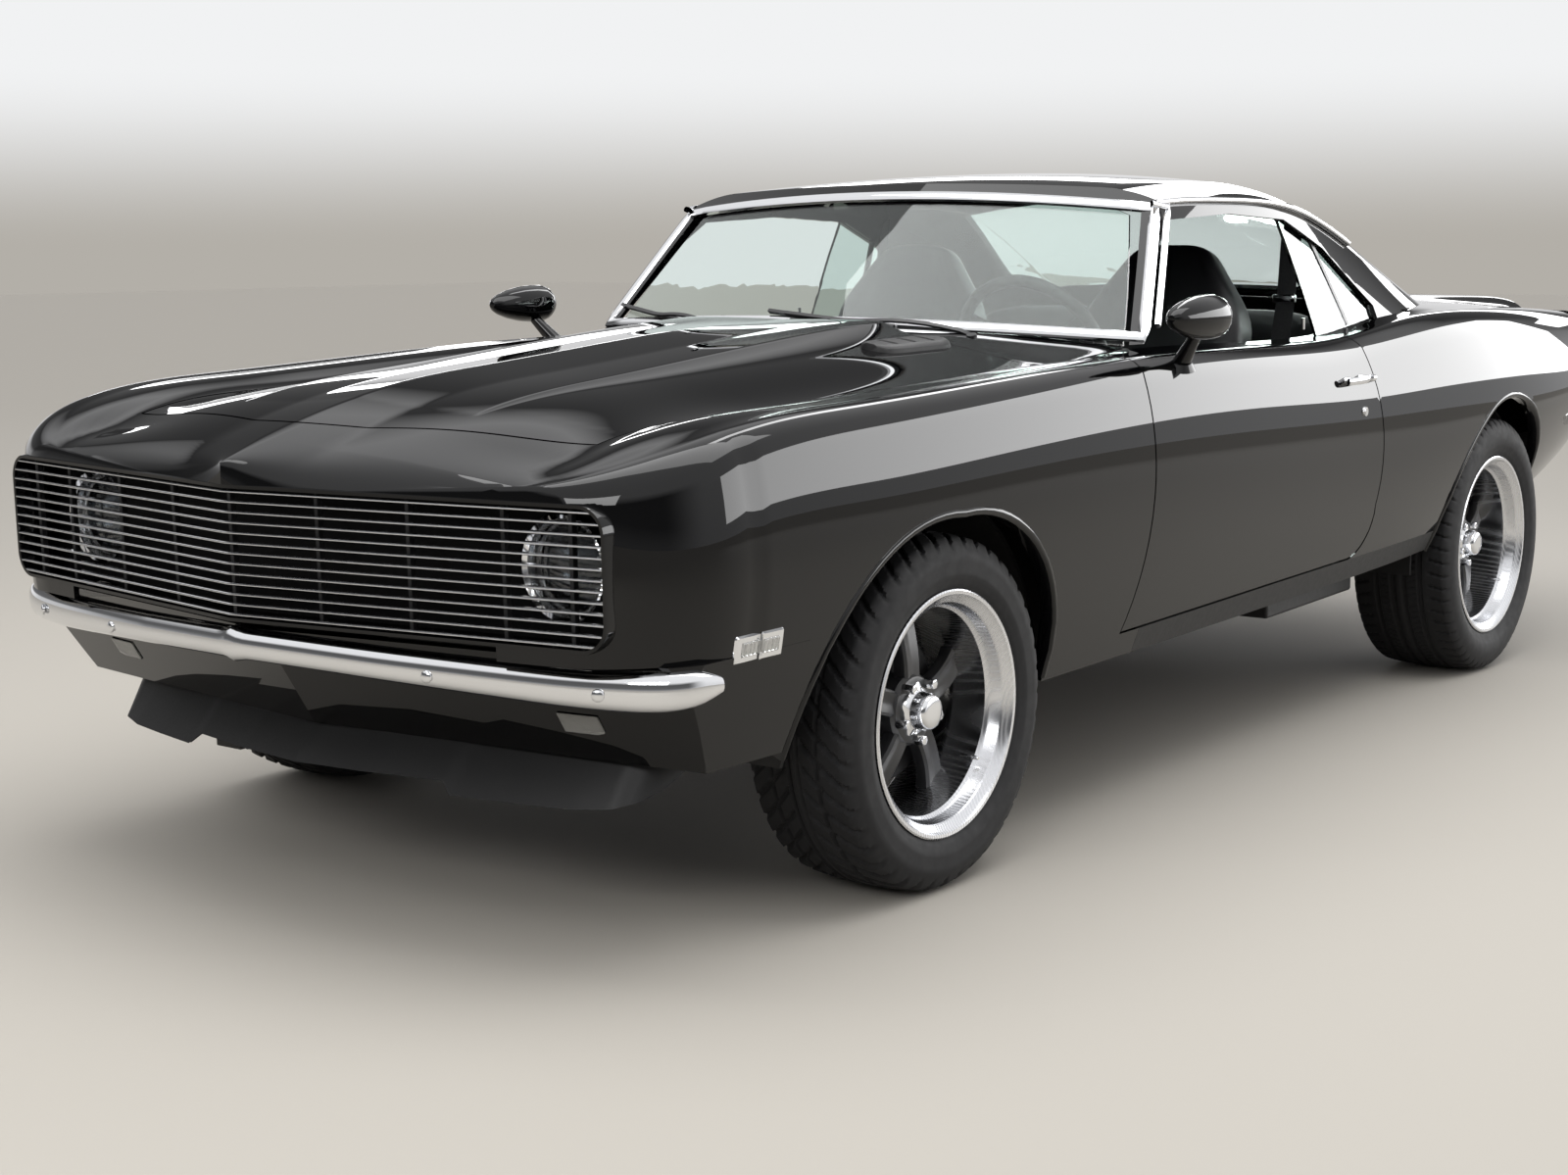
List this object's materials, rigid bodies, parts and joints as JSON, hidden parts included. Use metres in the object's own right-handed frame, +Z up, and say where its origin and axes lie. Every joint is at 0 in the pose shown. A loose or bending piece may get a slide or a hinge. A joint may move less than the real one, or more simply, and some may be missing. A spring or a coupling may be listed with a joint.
{
  "type": "muscle car",
  "caption": "Black two-door hardtop muscle car with a slatted full-width grille, ducktail, deep-dish five-spoke wheels and opening panels.",
  "frame": {"origin": "on the ground under the middle of the car", "axes": "+X to the car's left side, -Y towards the nose, +Z up"},
  "size_m": [1.9976, 4.7115, 1.3573],
  "materials": {
    "cast": "cast iron",
    "chrome": "bright plated steel",
    "clear": "clear safety glass",
    "frame_steel": "black chassis paint",
    "lamp": "fluted lamp glass",
    "paint": "gloss black enamel, polished",
    "polished": "polished aluminium",
    "red_lens": "red lens",
    "satin_black": "satin black",
    "steel": "bare steel",
    "trim_plastic": "grained black plastic",
    "tyre": "black rubber",
    "vinyl": "black vinyl",
    "wheel_black": "satin black wheel paint"
  },
  "bodies": {
    "body": {"roof": "paint", "quarter_left": "paint", "quarter_right": "paint", "cowl": "paint", "rear_deck": "paint", "floor_pan": "frame_steel", "fender_left": "paint", "fender_right": "paint", "inner_fenders": "frame_steel", "header_panel": "paint", "front_valance": "paint", "chin_spoiler": "satin_black", "bumper_front": "chrome", "bumper_rear": "chrome", "grille": "polished", "lamp_panel": "satin_black", "headlamps": "lamp", "turn_lamps": "lamp", "windshield": "clear", "rear_glass": "clear", "tail_panel": "paint", "tail_lamps": "red_lens", "rear_valance": "paint", "front_frame": "frame_steel", "control_arms": "frame_steel", "rear_axle": "frame_steel", "leaf_springs": "steel", "engine": "cast", "driveshaft": "steel", "exhaust": "steel", "fuel_tank": "steel", "seat_left": "vinyl", "seat_right": "vinyl", "rear_seat": "vinyl", "parcel_shelf": "trim_plastic", "dashboard": "trim_plastic", "steering_wheel": "trim_plastic"},
    "hood": {"hood": "paint"},
    "trunk_lid": {"trunk_lid": "paint"},
    "door_left": {"door_left": "paint", "mirror_left": "paint", "door_handle_left": "chrome"},
    "door_right": {"door_right": "paint", "mirror_right": "paint", "door_handle_right": "chrome"},
    "knuckle_left": {"knuckle_left": "cast"},
    "knuckle_right": {"knuckle_right": "cast"},
    "wheel_front_left": {"wheel_front_left": "wheel_black", "tyre_front_left": "tyre"},
    "wheel_front_right": {"wheel_front_right": "wheel_black", "tyre_front_right": "tyre"},
    "wheel_rear_left": {"wheel_rear_left": "wheel_black", "tyre_rear_left": "tyre"},
    "wheel_rear_right": {"wheel_rear_right": "wheel_black", "tyre_rear_right": "tyre"}
  },
  "joints": [
    {"name": "steer_left", "type": "hinge", "parent": "body", "child": "knuckle_left", "pos_m": [0.688, -1.4187, 0.334], "axis": [0, 0, 1], "range_deg": [-28, 28]},
    {"name": "steer_right", "type": "hinge", "parent": "body", "child": "knuckle_right", "pos_m": [-0.688, -1.4187, 0.334], "axis": [0, 0, 1], "range_deg": [-28, 28]},
    {"name": "door_left_hinge", "type": "hinge", "parent": "body", "child": "door_left", "pos_m": [0.899, -0.63893, 0.66884], "axis": [0, 0.0242, -0.9997], "range_deg": [0, 62]},
    {"name": "door_right_hinge", "type": "hinge", "parent": "body", "child": "door_right", "pos_m": [-0.899, -0.63893, 0.66884], "axis": [0, -0.0242, 0.9997], "range_deg": [0, 62]},
    {"name": "hood_hinge", "type": "hinge", "parent": "body", "child": "hood", "pos_m": [0, -0.7771, 1.0056], "axis": [-1, 0, 0], "range_deg": [0, 50]},
    {"name": "trunk_hinge", "type": "hinge", "parent": "body", "child": "trunk_lid", "pos_m": [0, 1.44483, 1.03528], "axis": [1, 0, 0], "range_deg": [0, 60]},
    {"name": "spin_front_left", "type": "hinge", "parent": "knuckle_left", "child": "wheel_front_left", "pos_m": [0.77, -1.4187, 0.334], "axis": [1, 0, 0], "continuous": true},
    {"name": "spin_front_right", "type": "hinge", "parent": "knuckle_right", "child": "wheel_front_right", "pos_m": [-0.77, -1.4187, 0.334], "axis": [1, 0, 0], "continuous": true},
    {"name": "spin_rear_left", "type": "hinge", "parent": "body", "child": "wheel_rear_left", "pos_m": [0.744, 1.3243, 0.352], "axis": [1, 0, 0], "continuous": true},
    {"name": "spin_rear_right", "type": "hinge", "parent": "body", "child": "wheel_rear_right", "pos_m": [-0.744, 1.3243, 0.352], "axis": [1, 0, 0], "continuous": true}
  ],
  "couplings": [
    {"joint": "steer_right", "follows": "steer_left", "ratio": 1}
  ]
}
